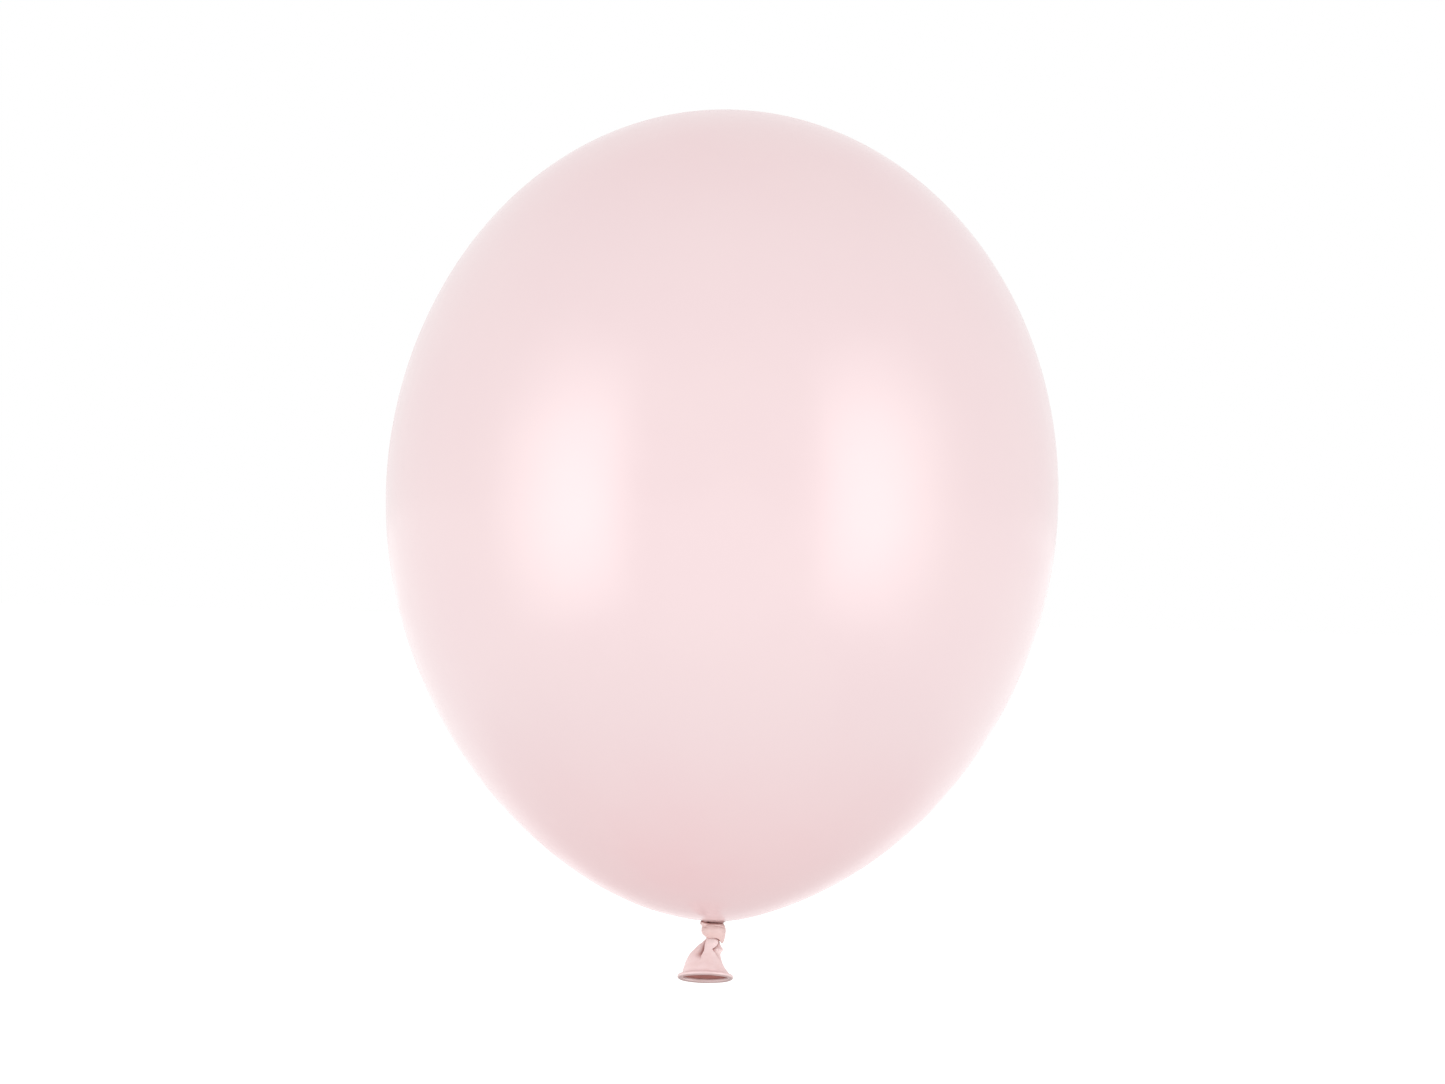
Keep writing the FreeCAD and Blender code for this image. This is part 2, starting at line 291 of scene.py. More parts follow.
def make_envelope():
    """The envelope: a closed thin shell that ends in a soft rounded lip above the knot."""
    outside = envelope_profile(0.0, BELLY_END, ENVELOPE_ROWS)
    lip = spline([outside[-1], (9.2, 2.72), (7.6, 2.45), (6.2, 2.22), (LIP_RADIUS + 0.3, 1.98),
                  (LIP_RADIUS, 1.7), (LIP_RADIUS - 0.5, 1.45), (LIP_RADIUS - 1.2, 1.4),
                  (LIP_RADIUS - 2.0, 1.6)], LIP_ROWS)[1:]
    inside = envelope_profile(FILM_WALL, BELLY_END, ENVELOPE_ROWS // 2)
    back = spline([(LIP_RADIUS - 2.0, 1.85), (LIP_RADIUS - 0.9, 1.75), (LIP_RADIUS - 0.2, 2.05),
                   (6.3, 2.55), (8.8, 3.0), inside[-1]], LIP_BACK_ROWS)
    rows = turned(np.vstack([outside, lip, back, inside[::-1][1:]]), ENVELOPE_SIDES)
    return mesh_piece("envelope_film", gathered(rows), poles=True)


def make_throat():
    """The gathered strand that leaves the lip and runs down into the knot."""
    profile = spline([(2.6, 2.0), (3.5, 1.85), (3.0, 1.5), (2.15, 0.95), (2.0, 0.0), (1.95, -1.6),
                      (1.9, -2.6), (1.3, -3.1), (0.5, -3.2)], THROAT_ROWS)
    rows = turned(profile, ENVELOPE_SIDES)
    folds = 1 + THROAT_FOLD * gathers(around(ENVELOPE_SIDES))
    rows[..., :2] *= folds[None, :, None]
    rows[..., 0] += LIP_SHIFT * step((rows[..., 2] - THROAT_BEND_START) / THROAT_BEND_LENGTH)
    return mesh_piece("throat_film", rows, poles=True)


# ---------------------------------------------------------------- the knot

LOOP_SIDES = 192
LOOP_POINTS = 128
COLLAR_OFFSET = 0.75
COLLAR_TOP = 0.95
COLLAR_BOTTOM = -5.05
COLLAR_WAIST = 5.35
COLLAR_FOOT = 4.2
COLLAR_BORE = 3.1
HOOK_ANGLE = -12
HOOK_DROP = 2.75
CORE_OFFSET = 0.35
CORE_OUTER = 4.3
CORE_TOP = 1.32
EAR_ANGLE = -166
EAR_REACH = 1.5
EAR_RISE = 0.75
TUCK_SIDES = 40
TUCK_OFFSET = 0.6
TUCK_RADIUS = 3.1
TUCK_START = -26
TUCK_SPAN = 44
TUCK_HEIGHT = -5.6
TUCK_THICKNESS = 0.85
TUCK_TALLNESS = 1.1


def loop_rows(angles, sections, offset):
    """Rows of points for closed sections, (radius, height) pairs, one section per angle.

    offset is how far the loop's axis lies to the right of the balloon's.
    """
    turn = np.radians(angles)
    rows = np.zeros((sections.shape[1], len(angles), 3))
    rows[..., 0] = sections[..., 0].T * np.cos(turn) + offset
    rows[..., 1] = sections[..., 0].T * np.sin(turn)
    rows[..., 2] = sections[..., 1].T
    return rows


def crease_depth(angles, below_top):
    """How deep the collar's fine creases are, where one turn of film lies over another."""
    turn = angles[:, None]
    rise = step(apart(turn, -70) / 75)
    # Each crease's depth below the collar's top, how deep and wide it is, and where it runs.
    creases = (
        (1.15 + 1.1 * rise, 0.26, 0.24, bump(apart(turn, -55), 46)),
        (1.75 + 0.5 * rise, 0.12, 0.2, bump(apart(turn, -70), 30)),
        (1.3 + 0.012 * apart(turn, -150), 0.24, 0.24, bump(apart(turn, -140), 26)),
        (3.3 + 1.0 * step(apart(turn, -40) / 50), 0.14, 0.3, bump(apart(turn, -12), 30)),
        (4.9, 0.12, 0.3, bump(apart(turn, -8), 26)),
        (2.1, 0.2, 0.3, bump(apart(turn, 95), 50)),
        (4.2, 0.2, 0.34, bump(apart(turn, 140), 45)),
    )
    return sum(depth * where * bump(below_top - middle, width)
               for middle, depth, width, where in creases)


def make_collar():
    """The knot's outer wrap: a bulging band whose lower edge hooks down at the front right."""
    angles = around(LOOP_SIDES)
    hook = bump(apart(angles, HOOK_ANGLE), 36)
    right = bump(apart(angles, RIGHT), 62)
    left = bump(apart(angles, LEFT), 60)
    front = bump(apart(angles, FRONT), 55)
    back = bump(apart(angles, BACK), 60)
    tops = COLLAR_TOP - 0.15 * left + 0.25 * right + 0.4 * front + 0.2 * back
    bottoms = COLLAR_BOTTOM - HOOK_DROP * hook - 0.45 * left
    waists = COLLAR_WAIST + 0.15 * left + 0.2 * right
    feet = COLLAR_FOOT - 0.75 * left + 0.15 * hook
    sections = []
    for top, bottom, waist, foot in zip(tops, bottoms, waists, feet):
        height = top - bottom
        sections.append(closed_spline([
            (3.25, top - 0.9), (3.75, top - 0.14), (4.4, top - 0.2),
            (waist - 0.28, top - 0.22 * height), (waist, top - 0.46 * height),
            (waist - 0.3, top - 0.7 * height), (foot + 0.3, bottom + 0.6), (foot - 0.25, bottom),
            (foot - 0.85, bottom + 0.4), (COLLAR_BORE, bottom + 1.5),
            (COLLAR_BORE, top - 0.5 * height)], LOOP_POINTS))
    sections = np.array(sections)
    outer_side = step((sections[..., 0] - 3.6) / 0.8)
    sections[..., 0] -= crease_depth(angles, tops[:, None] - sections[..., 1]) * outer_side
    return mesh_piece("knot_collar_wrap", loop_rows(angles, sections, COLLAR_OFFSET), ring=True)


def make_core():
    """The inner loop: it shows as a thin roll between lip and collar, with an ear at the left."""
    angles = around(LOOP_SIDES)
    ear = bump(apart(angles, EAR_ANGLE), 26)
    front = bump(apart(angles, -60), 50)
    outers = CORE_OUTER + EAR_REACH * ear
    tops = CORE_TOP + EAR_RISE * ear + 0.2 * front
    sections = []
    for outer, top in zip(outers, tops):
        sections.append(closed_spline([
            (3.0, top - 0.9), (3.6, top - 0.12), (outer - 0.4, top - 0.08), (outer, top - 0.7),
            (outer - 0.2, top - 1.7), (3.5, -1.6), (2.9, -3.0), (2.65, -4.4), (2.5, -2.6)],
            LOOP_POINTS))
    rows = loop_rows(angles, np.array(sections), CORE_OFFSET)
    return mesh_piece("knot_core_loop", rows, ring=True)


def make_tuck():
    """The wrap's end, a soft lobe tucked inside the collar's hook at the right."""
    share = np.linspace(0, 1, TUCK_SIDES)
    turn = np.radians(TUCK_START + TUCK_SPAN * share)
    path = np.stack([TUCK_OFFSET + TUCK_RADIUS * np.cos(turn), TUCK_RADIUS * np.sin(turn),
                     TUCK_HEIGHT - 0.3 * np.sin(math.pi * share)], 1)
    thick = TUCK_THICKNESS * np.sqrt(np.clip(1 - (2 * share - 1) ** 6, 0.02, 1))
    out = np.stack([np.cos(turn), np.sin(turn), 0 * turn], 1)
    rows = []
    for angle in np.radians(around(TUCK_SIDES)):
        across = out * math.cos(angle) * thick[:, None]
        across[:, 2] += TUCK_TALLNESS * math.sin(angle) * thick
        rows.append(path + across)
    return mesh_piece("knot_tuck_fold", np.array(rows).transpose(1, 0, 2), poles=True)


# ---------------------------------------------------------------- the tail

bead_low, bead_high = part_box("mouth_bead")
BEAD_RADIUS = 1.0
BEAD_SIDES = 220
ROLL_SIDES = 48
ROLL_EDGE_ANGLE = -112
ROLL_STEP = 0.11
MOUTH_TILT = math.radians(19.2)
MOUTH_HALF_WIDTH = (bead_high.x - bead_low.x) / 2 / MM - BEAD_RADIUS
MOUTH_CENTRE = np.array((bead_low + bead_high) / 2) / MM
MOUTH_HALF_DEPTH = ((bead_high.y - bead_low.y) / 2 / MM - BEAD_RADIUS) / math.cos(MOUTH_TILT)
SKIRT_SIDES = 432
SKIRT_ROWS = 130
SKIRT_WALL = 0.26
SEAM_HEIGHT = -8.0
HOLLOW_SHADE_ROWS = 26.0
DEEPEST_FOLD = 0.72
EDGE_POINTS = 160

# The lobe beside the V fold: how far it stands out, its angle and height, and how far it spreads.
LOBE_REACH, LOBE_ANGLE, LOBE_SPREAD = 1.1, 2, 20
LOBE_HEIGHT, LOBE_TALLNESS = -10.7, 1.3

# The plain pleats: each one's angle where it starts and where it fades, the heights where it
# starts and fades, its depth and its width in degrees.
PLEATS = (
    (-24, -30, -6.0, -12.2, 0.9, 6.0),
    (-8, -14, -6.0, -12.8, 1.2, 7.0),
    (20, 30, -6.0, -15.5, 2.2, 11.0),
    (58, 66, -6.0, -12.8, 1.7, 11.0),
    (100, 104, -6.0, -17.0, 2.4, 12.0),
    (146, 138, -6.0, -14.0, 2.0, 10.0),
)
# The folded edges, where one part of the film lies over the next: points of height, angle and
# depth down each edge; the side that lies below (-1 clockwise, 1 anticlockwise seen from above);
# how far round the lower part stays below and how far the edge hangs over it, in degrees; and how
# dark the shadow painted beside the crease is and how far round it spreads, in degrees.
FOLD_EDGES = (
    (((-5.0, -150, 0.8), (-6.2, -144, 1.6), (-7.6, -126, 2.9), (-9.2, -109, 3.4),
      (-10.8, -99, 3.0), (-12.2, -97, 2.1), (-13.3, -98, 1.2), (-14.5, -100, 0.4),
      (-15.8, -102, 0.0), (-17.2, -104, 0.0)),
     -1, 25.0, 7.0, 0.9, 25.0),
    (((-5.6, -34, 0.5), (-7.2, -42, 1.2), (-9.0, -58, 1.7), (-10.0, -70, 1.8), (-10.2, -73, 1.8),
      (-10.4, -71, 1.75), (-11.2, -63, 1.5), (-12.4, -50, 1.2), (-15.6, -32, 0.8),
      (-18.0, -20, 0.4), (-19.8, -11, 0.0), (-21.0, -6, 0.0)),
     1, 34.0, 5.0, 0.6, 30.0),
)


def pleat_depth(angles, height):
    """How far the plain pleats fold the film in at each angle, at one height."""
    total = np.zeros(len(angles))
    for start, stop, top, fade, depth, width in PLEATS:
        share = np.clip((top - height) / (top - fade), 0, 1)
        centre = start + (stop - start) * share
        total += depth * (1 - step((share - 0.3) / 0.7)) * bump(apart(angles, centre), width)
    return total


def folded_edges(angles, height):
    """Beside the folded edges: how deep the film lies, how far it is pushed round, how much painted
    shade.
    """
    depth_there = np.zeros(len(angles))
    turned_by = np.zeros(len(angles))
    shade = np.zeros(len(angles))
    for points, side, reach, overhang, darkness, spread in FOLD_EDGES:
        heights, centres, depths = spline(points, EDGE_POINTS).T
        centre = np.interp(-height, -heights, centres)
        depth = np.interp(-height, -heights, depths)
        past = side * apart(angles, centre)
        below = np.clip(past, 0, None)
        depth_there += depth * step(past / 3.5 + 0.5) * bump(below, reach)
        turned_by += side * overhang * min(depth, 1.0) * bump(past + 3.0, 5.0)
        # The shadow painted on the film that lies under the folded edge.
        under = step(past / 3.0 + 1.0) * bump(below, spread)
        shade = np.maximum(shade, darkness * step(depth / 2.0) * under)
    return depth_there, turned_by, shade


def mouth_station(above, inset):
    """A row of the skirt in the plane of the mouth, above its middle and inside its oval."""
    return (MOUTH_CENTRE[2] + above * math.cos(MOUTH_TILT),
            MOUTH_CENTRE[0] - MOUTH_HALF_WIDTH + inset, MOUTH_CENTRE[0] + MOUTH_HALF_WIDTH - inset,
            MOUTH_HALF_DEPTH - inset, MOUTH_CENTRE[1] + above * math.sin(MOUTH_TILT), 1.0)


def skirt_rows(inset):
    """Rows of points down the tail, from inside the knot to the mouth, and their painted shade."""
    # Height, left and right end, half depth, centre in y and share of the mouth's tilt.
    stations = [
        (-4.6, -1.9, 3.0, 2.0, 0.0, 0.0),
        (-6.0, -2.7, 3.7, 2.5, 0.0, 0.0),
        (-7.6, -4.35, 4.0, 3.0, -0.2, 0.02),
        (-9.0, -6.1, 4.2, 3.3, -0.5, 0.08),
        (-10.6, -7.75, 4.15, 3.7, -1.0, 0.16),
        (-12.8, -9.75, 4.2, 4.3, -1.8, 0.3),
        (-15.6, -11.25, 5.1, 5.2, -3.0, 0.52),
        (-18.4, -12.2, 6.4, 6.2, -4.3, 0.78),
        mouth_station(2.1, 1.25),
        mouth_station(1.35, 0.75),
        mouth_station(0.95, 0.15),
        mouth_station(0.55, -0.1),
    ]
    angles = around(SKIRT_SIDES)
    rows = []
    shades = []
    for height, left, right, half_depth, centre_y, leaning in spline(stations, SKIRT_ROWS):
        fold, turned_by, shade = folded_edges(angles, height)
        shades.append(shade)
        fold = fold + pleat_depth(angles, height)
        turn = np.radians(angles + turned_by)
        # A fold can't go deeper than the section lets it.
        room = DEEPEST_FOLD * np.hypot((right - left) / 2 * np.cos(turn), half_depth * np.sin(turn))
        fold = room * np.tanh(fold / room)
        lobe = LOBE_REACH * bump(apart(angles, LOBE_ANGLE), LOBE_SPREAD)
        change = lobe * bump(height - LOBE_HEIGHT, LOBE_TALLNESS) - fold - inset
        across = (right - left) / 2 + change
        deep = half_depth + change
        tilt = MOUTH_TILT * leaning
        x = (left + right) / 2 + across * np.cos(turn)
        y = deep * np.sin(turn)
        rows.append(np.stack([x, centre_y + y * math.cos(tilt), height - y * math.sin(tilt)], 1))
    return np.array(rows), np.array(shades)


def make_tail():
    """The tail's loose film, a thin shell: pleated at the knot and smooth at the mouth.

    It comes as two closed pieces, which meet in a seam that doesn't show: the bunched root, which
    leaves the knot, and the skirt.
    """
    # creases here holds the shade painted beside the folded edges.
    outside, creases = skirt_rows(0.0)
    inside = skirt_rows(SKIRT_WALL)[0]
    # Painted shade on the tail's inner wall: half at the mouth, full some rows further in.
    hollow_shade = 0.5 + 0.5 * step(np.arange(SKIRT_ROWS)[::-1] / HOLLOW_SHADE_ROWS)
    seam = int(np.argmax(outside[..., 2].mean(1) < SEAM_HEIGHT))
    pieces = []
    for name, first, last in (("tail_root_film", 0, seam),
                              ("tail_skirt_film", seam, SKIRT_ROWS - 1)):
        part = slice(first, last + 1)
        count = last + 1 - first
        piece = mesh_piece(name, np.concatenate([outside[part], inside[part][::-1]]), ring=True)
        inner_shade = np.repeat(hollow_shade[part][::-1, None], SKIRT_SIDES, 1)
        mark_shade(piece, np.vstack([creases[part], inner_shade]))
        crisp_rows(piece, (count - 1, count) if first == 0 else (0, 2 * count - 1))
        pieces.append(piece)
    return pieces


def crisp_rows(piece, rows):
    """Keep a seam's edge faces out of the smooth shading of the film beside them."""
    mesh = piece.data
    edges = np.empty(2 * len(mesh.edges), np.int32)
    mesh.edges.foreach_get("vertices", edges)
    row_of = edges.reshape(-1, 2) // SKIRT_SIDES
    along = (row_of[:, 0] == row_of[:, 1]) & np.isin(row_of[:, 0], rows)
    sharp = mesh.attributes.new("sharp_edge", "BOOLEAN", "EDGE")
    sharp.data.foreach_set("value", along)


def mark_shade(piece, values):
    """Store the painted shade at each point, 0 to 1, where the film lies inside or turned under."""
    shade = piece.data.attributes.new("shade", "FLOAT", "POINT")
    shade.data.foreach_set("value", np.asarray(values, np.float32).ravel())


def make_bead():
    """The rolled ring round the mouth: a spiral section, whose free edge shows as a fine line."""
    turn = np.radians(around(BEAD_SIDES))
    roll = np.radians(around(ROLL_SIDES))
    spiral = ((roll - math.radians(ROLL_EDGE_ANGLE)) % (2 * math.pi)) / (2 * math.pi)
    wobble = 1 + 0.02 * np.sin(3 * turn + 1.0) + 0.012 * np.sin(7 * turn + 2.0)
    oval = np.stack([MOUTH_HALF_WIDTH * np.cos(turn), MOUTH_HALF_DEPTH * np.sin(turn)], 1)
    outwards = np.stack([MOUTH_HALF_DEPTH * np.cos(turn), MOUTH_HALF_WIDTH * np.sin(turn)], 1)
    outwards /= np.linalg.norm(outwards, axis=1)[:, None]
    rows = []
    for angle, share in zip(roll, spiral):
        radius = BEAD_RADIUS * (1.0 - ROLL_STEP * step((share - 0.9) / 0.1)) * wobble
        x, y = (oval + outwards * (radius * math.cos(angle))[:, None]).T
        up = radius * math.sin(angle)
        rows.append(np.stack([MOUTH_CENTRE[0] + x,
                              MOUTH_CENTRE[1] + y * math.cos(MOUTH_TILT) + up * math.sin(MOUTH_TILT),
                              MOUTH_CENTRE[2] - y * math.sin(MOUTH_TILT) + up * math.cos(MOUTH_TILT)],
                             1))
    bead = mesh_piece("mouth_bead_roll", np.array(rows), ring=True)
    # Painted shade on the bead's lower side.
    under = step((-np.sin(roll) - 0.1) / 0.8)[:, None] * np.ones((1, BEAD_SIDES))
    mark_shade(bead, 0.75 * under)
    return bead


# ---------------------------------------------------------------- materials

LATEX_IOR = 1.52

# How fine each noise is: how many of its clouds fit in a metre, about.
MOTTLE_SCALE = 14.0
POLISH_SCALE = 60.0
RIPPLE_SCALE = 900.0
BLOTCH_SCALE = 260.0
POWDER_SCALE = 1400.0
WRINKLE_SCALE = 1500.0


class Nodes:
    """A short way to build a material's nodes."""

    def __init__(self, name):
        self.material = bpy.data.materials.new(name)
        self.material.use_nodes = True
        self.tree = self.material.node_tree
        self.shader = self.tree.nodes["Principled BSDF"]

    def set_input(self, socket, value):
        """Link another node's output to a socket, or set the socket to a plain value."""
        if isinstance(value, bpy.types.NodeSocket):
            self.tree.links.new(value, socket)
        else:
            socket.default_value = value

    def new(self, kind, inputs=None, **settings):
        """A node of a kind, with its settings and what goes into its inputs."""
        node = self.tree.nodes.new(kind)
        for key, value in settings.items():
            setattr(node, key, value)
        for key, value in (inputs or {}).items():
            self.set_input(node.inputs[key], value)
        return node

    def link(self, output, name):
        """Link a node's output to one of the shader's inputs."""
        self.tree.links.new(output, self.shader.inputs[name])

    def mix(self, share, start, stop):
        """Colour start turning into colour stop."""
        node = self.new("ShaderNodeMix", data_type="RGBA")
        self.set_input(node.inputs["Factor"], share)
        self.set_input(node.inputs[6], start)
        self.set_input(node.inputs[7], stop)
        return node.outputs[2]

    def ramp(self, value, low, high, to_low=0.0, to_high=1.0):
        """value from low to high, mapped smoothly to to_low and to_high."""
        node = self.new("ShaderNodeMapRange", {"Value": value, "From Min": low, "From Max": high,
                        "To Min": to_low, "To Max": to_high}, interpolation_type="SMOOTHSTEP")
        return node.outputs["Result"]

    def paint_fold_shade(self, reach, film, crease, pit):
        """film, darkened to the painted crease shade where ambient occlusion finds a crease, and to
        the painted pit shade where it is deeper.
        """
        open_air = self.new("ShaderNodeAmbientOcclusion", {"Distance": reach}, samples=8)
        seen = open_air.outputs["AO"]
        film = self.mix(self.ramp(seen, 0.12, 0.72, 0.9, 0.0), film, crease)
        return self.mix(self.ramp(seen, 0.02, 0.2, 0.8, 0.0), film, pit)

    def point(self):
        """The point on the piece at rest."""
        return self.new("ShaderNodeTexCoord").outputs["Object"]

    def shade(self):
        """The piece's own mark of shade painted where its film lies inside or turned under, 0 where
        it has none.
        """
        return self.new("ShaderNodeAttribute", attribute_name="shade").outputs["Fac"]

    def noise(self, vector, scale, detail=2.0, roughness=0.5):
        """Cloudy noise from 0 to 1 over a vector."""
        node = self.new("ShaderNodeTexNoise", {"Vector": vector, "Scale": scale, "Detail": detail,
                                               "Roughness": roughness})
        return node.outputs["Fac"]

    def relief(self, height, distance, strength):
        """Give the surface a fine relief."""
        bumps = self.new("ShaderNodeBump", {"Height": height, "Distance": distance,
                                            "Strength": strength})
        self.link(bumps.outputs["Normal"], "Normal")


def linear(red, green, blue):
    """A colour given as 0 to 255 display values, as the shader wants it."""
    def one(level):
        level /= 255.0
        return level / 12.92 if level <= 0.04045 else ((level + 0.055) / 1.055) ** 2.4
    return (one(red), one(green), one(blue), 1.0)


# The darkest painted shade, for pits.
PIT_SHADE_COLOUR = linear(128, 72, 78)

# The deeper colour reaches up to this share of the equator's height, and down from the crown.
NECK_TINT_SHARE = 0.55
CROWN_TINT_DROP = 75.0


def stretched_latex():
    """The envelope's film: pastel, glossy, deeper where it is stretched less."""
    nodes = Nodes("stretched_latex")
    point = nodes.point()
    height = nodes.new("ShaderNodeSeparateXYZ", {"Vector": point}).outputs["Z"]
    pale = linear(231, 208, 210)
    deeper = linear(234, 196, 198)
    # The dark colour of the shade painted round the neck.
    lip_shade_colour = linear(146, 102, 98)
    near_neck = nodes.ramp(height, 0.0, NECK_TINT_SHARE * EQUATOR * MM, 1.0, 0.0)
    film = nodes.mix(near_neck, pale, deeper)
    tint_end = CROWN_HEIGHT - CROWN_TINT_DROP
    near_crown = nodes.ramp(height, tint_end * MM, CROWN_HEIGHT * MM, 0.0, 0.3)
    film = nodes.mix(near_crown, film, deeper)
    # Painted shade round the neck: from 4.8 mm high down to 2.3 mm the film turns nearly to the dark
    # shade colour, where the lip and the knot shade it.
    lip_shade = nodes.ramp(height, 2.3 * MM, 4.8 * MM, 0.9, 0.0)
    film = nodes.mix(lip_shade, film, lip_shade_colour)
    mottle = nodes.ramp(nodes.noise(point, MOTTLE_SCALE, 3.0), 0.35, 0.65, 0.0, 0.25)
    film = nodes.mix(mottle, film, linear(234, 213, 213))
    # Painted shade in creases and pits, found by ambient occlusion.
    film = nodes.paint_fold_shade(0.003, film, linear(196, 138, 130), PIT_SHADE_COLOUR)
    nodes.link(film, "Base Color")
    rough = nodes.ramp(nodes.noise(point, POLISH_SCALE), 0.3, 0.7, 0.19, 0.25)
    nodes.link(rough, "Roughness")
    nodes.relief(nodes.noise(point, RIPPLE_SCALE), 0.00002, 0.15)
    nodes.shader.inputs["IOR"].default_value = LATEX_IOR
    return nodes.material


def slack_latex(name, colour, deep, shaded, roughness):
    """Unstretched film of the knot and tail: satin, deeper in colour, finely wrinkled."""
    nodes = Nodes(name)
    point = nodes.point()
    blotch = nodes.ramp(nodes.noise(point, BLOTCH_SCALE, 3.0), 0.35, 0.7)
    film = nodes.mix(blotch, colour, deep)
    # Painted shade in creases and pits, found by ambient occlusion.
    film = nodes.paint_fold_shade(0.0035, film, linear(188, 122, 114), PIT_SHADE_COLOUR)
    # Painted shade where the piece's shade mark says: inside the tail, beside its folded edges and
    # under the bead.
    film = nodes.mix(nodes.shade(), film, shaded)
    nodes.link(film, "Base Color")
    powder = nodes.ramp(nodes.noise(point, POWDER_SCALE, 3.0), 0.3, 0.7,
                        roughness - 0.05, roughness + 0.08)
    nodes.link(powder, "Roughness")
    long_way = nodes.new("ShaderNodeMapping", {"Vector": point, "Scale": (1.0, 1.0, 0.3)})
    nodes.relief(nodes.noise(long_way.outputs["Vector"], WRINKLE_SCALE, 4.0, 0.6), 0.00006, 0.3)
    nodes.shader.inputs["IOR"].default_value = LATEX_IOR
    return nodes.material


# ---------------------------------------------------------------- assembly

stretched = stretched_latex()
# The third colour of each is its painted shade.
knotted = slack_latex("knotted_latex", linear(234, 204, 200), linear(229, 197, 192),
                      linear(164, 100, 98), 0.42)
slack = slack_latex("slack_latex", linear(250, 230, 229), linear(246, 224, 222),
                    linear(164, 100, 92), 0.42)
rolled = slack_latex("rolled_latex", linear(241, 218, 217), linear(236, 211, 209),
                     linear(164, 130, 128), 0.36)


def finish_piece(piece, material, slot, *nodes):
    """Give a piece its material and hide the CAD nodes it stands for; slot is not used."""
    piece.data.materials.append(material)
    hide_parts(*nodes)
    return piece


envelope = finish_piece(make_envelope(), stretched, "film", "envelope")
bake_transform(envelope)
throat = finish_piece(make_throat(), stretched, "film", "throat", "neck_strand")
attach(throat, "neck")
core = finish_piece(make_core(), knotted, "neck_film", "knot_core")
collar = finish_piece(make_collar(), knotted, "neck_film", "knot_collar")
tuck = finish_piece(make_tuck(), knotted, "neck_film", "knot_tuck")
for piece in (core, collar, tuck):
    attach(piece, "knot")
root, skirt = make_tail()
finish_piece(root, slack, "neck_film", "tail_root")
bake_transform(root)
finish_piece(skirt, slack, "neck_film", "tail_skirt")
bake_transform(skirt)
bead = finish_piece(make_bead(), rolled, "bead", "mouth_bead")
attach(bead, "tail")


# ---------------------------------------------------------------- studio

WHITE = (1, 1, 1, 1)
FLOOR_GREY = (0.8, 0.8, 0.8, 1)
FLOOR_DROP = 0.62
FLOOR_SIZE = 80.0
GLOW_START = 0.6
GLOW_FULL = 1.7
GLOW_STRENGTH = 0.45
FILL_WIDTH = 1.6
FILL_HEIGHT = 1.0
FILL_POWER = 5.0
FILL_PLACE = Vector((0.0, -2.2, -0.3))
FILL_TARGET = Vector((0, 0, 0.08))
SOFTBOX_WIDTH = 1.65
SOFTBOX_HEIGHT = 2.5
SOFTBOX_DISTANCE = 1.6
SOFTBOX_TURN = math.radians(55.0)
SOFTBOX_RADIANCE = 3.0
LENS = 100.0
SENSOR = 36.0
PICTURE_WIDTH = 0.6466
CAMERA_ROLL = 1.3
AIM_RIGHT = 0.0008
AIM_LIFT = 0.0062

scene = bpy.context.scene
scene.view_settings.view_transform = "Standard"
scene.view_settings.look = "None"


def floor_material():
    """Matt pale grey under the balloon, which brightens outwards into the white surround."""
    nodes = Nodes("floor_white")
    nodes.shader.inputs["Base Color"].default_value = FLOOR_GREY
    nodes.shader.inputs["Roughness"].default_value = 0.9
    nodes.shader.inputs["Specular IOR Level"].default_value = 0.0
    nodes.shader.inputs["Emission Color"].default_value = WHITE
    reach = nodes.new("ShaderNodeVectorMath", {0: nodes.point()}, operation="LENGTH")
    glow = nodes.ramp(reach.outputs["Value"], GLOW_START, GLOW_FULL, 0.0, GLOW_STRENGTH)
    nodes.link(glow, "Emission Strength")
    return nodes.material


def make_floor():
    """A wide floor some way below the balloon."""
    mesh = bpy.data.meshes.new("floor")
    half = FLOOR_SIZE / 2
    mesh.from_pydata([(-half, -half, 0), (half, -half, 0), (half, half, 0), (-half, half, 0)], [],
                     [(0, 1, 2, 3)])
    floor = bpy.data.objects.new("floor", mesh)
    floor.location.z = cad_box[0].z - FLOOR_DROP
    mesh.materials.append(floor_material())
    scene.collection.objects.link(floor)


def area_lamp(name, width, height, power, location, towards):
    """A rectangular light that the camera doesn't see; towards points from its target to it."""
    light = bpy.data.lights.new(name, "AREA")
    light.shape = "RECTANGLE"
    light.size = width
    light.size_y = height
    light.energy = power
    lamp = bpy.data.objects.new(name, light)
    lamp.location = location
    lamp.rotation_euler = towards.to_track_quat("Z", "Y").to_euler()
    lamp.visible_camera = False
    scene.collection.objects.link(lamp)
    return lamp


def softbox(name, side, lift):
    """A soft light that faces the balloon's middle, brightest near its inner edge.

    side is -1 for the left and 1 for the right; lift is how far up it stands, in metres.
    """
    towards = Vector((side * math.sin(SOFTBOX_TURN), -math.cos(SOFTBOX_TURN),
                      lift / SOFTBOX_DISTANCE))
    lamp = area_lamp(name, SOFTBOX_WIDTH, SOFTBOX_HEIGHT, math.pi * SOFTBOX_WIDTH * SOFTBOX_HEIGHT,
                     Vector((0, 0, EQUATOR * MM)) + towards * SOFTBOX_DISTANCE, towards)
    lamp.visible_diffuse = False
    lamp.data.use_nodes = True
    soften_edges(lamp.data.node_tree, -side)


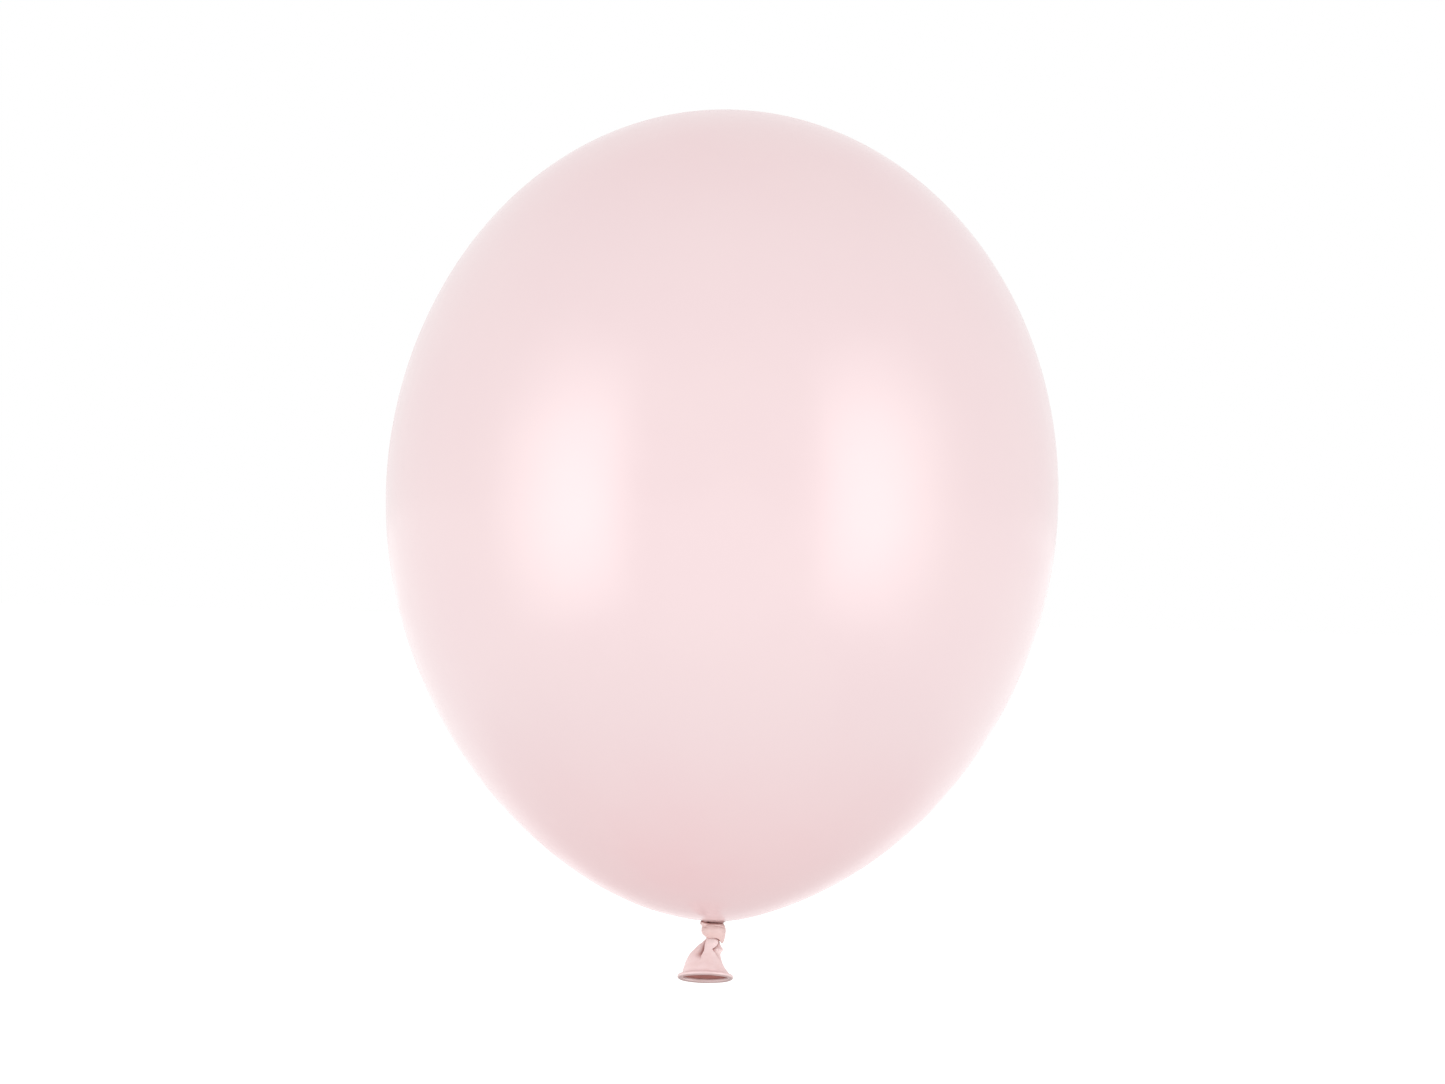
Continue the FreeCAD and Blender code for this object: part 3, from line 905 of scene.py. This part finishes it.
def soften_edges(tree, flip):
    """Make a light fade towards its edges; flip is -1 to mirror the fade left to right."""
    place_on_box = tree.nodes.new("ShaderNodeNewGeometry").outputs["Parametric"]
    inward = tree.nodes.new("ShaderNodeVectorMath")
    inward.operation = "MULTIPLY_ADD"
    inward.inputs[1].default_value = (flip, 1, 1)
    inward.inputs[2].default_value = ((1 - flip) / 2, 0, 0)
    tree.links.new(place_on_box, inward.inputs[0])
    glow = tree.nodes.new("ShaderNodeRGBCurve")
    across, upwards = glow.mapping.curves[:2]
    bend_curve(across, (0.0, 0.0), (0.16, 0.27), (0.38, 0.66), (0.62, 1.0), (0.8, 0.88),
               (0.92, 0.38), (1.0, 0.0))
    bend_curve(upwards, (0.0, 0.0), (0.2, 0.45), (0.5, 1.0), (0.8, 0.45), (1.0, 0.0))
    glow.mapping.update()
    tree.links.new(inward.outputs[0], glow.inputs["Color"])
    split = tree.nodes.new("ShaderNodeSeparateXYZ")
    tree.links.new(glow.outputs["Color"], split.inputs[0])
    both = tree.nodes.new("ShaderNodeMath")
    both.operation = "MULTIPLY"
    tree.links.new(split.outputs["X"], both.inputs[0])
    tree.links.new(split.outputs["Y"], both.inputs[1])
    level = tree.nodes.new("ShaderNodeMath")
    level.operation = "MULTIPLY"
    level.inputs[1].default_value = SOFTBOX_RADIANCE
    tree.links.new(both.outputs[0], level.inputs[0])
    tree.links.new(level.outputs[0], tree.nodes["Emission"].inputs["Strength"])


def bend_curve(curve, *points):
    """Run a curve through points, in place of the two ends that it has to start with."""
    curve.points[0].location = points[0]
    curve.points[-1].location = points[-1]
    for point in points[1:-1]:
        curve.points.new(*point)


def make_fill():
    """A large soft light in front and a little below, which gives form but no highlight."""
    lamp = area_lamp("front_fill", FILL_WIDTH, FILL_HEIGHT, FILL_POWER, FILL_PLACE,
                     FILL_PLACE - FILL_TARGET)
    lamp.visible_glossy = False


def make_world():
    """An even white surround."""
    world = bpy.data.worlds.new("white_studio")
    world.use_nodes = True
    back = world.node_tree.nodes["Background"]
    back.inputs["Color"].default_value = WHITE
    back.inputs["Strength"].default_value = 1.0
    scene.world = world


def make_camera():
    """A long lens, level with the middle of the balloon, rolled a little as the balloon leans."""
    low, high = cad_box
    height = high.z - low.z
    aim = Vector((AIM_RIGHT, 0, (low.z + high.z) / 2 + AIM_LIFT * height))
    camera = bpy.data.cameras.new("camera")
    camera.lens = LENS
    camera.sensor_width = SENSOR
    holder = bpy.data.objects.new("camera", camera)
    distance = PICTURE_WIDTH * LENS / SENSOR
    level = Matrix.Rotation(math.radians(90), 4, "X")
    roll = Matrix.Rotation(math.radians(-CAMERA_ROLL), 4, "Y")
    holder.matrix_world = Matrix.Translation(aim + Vector((0, -distance, 0))) @ roll @ level
    scene.collection.objects.link(holder)
    scene.camera = holder


make_floor()
make_world()
make_fill()
softbox("left_softbox", side=-1, lift=0.03)
softbox("right_softbox", side=1, lift=0.06)
make_camera()
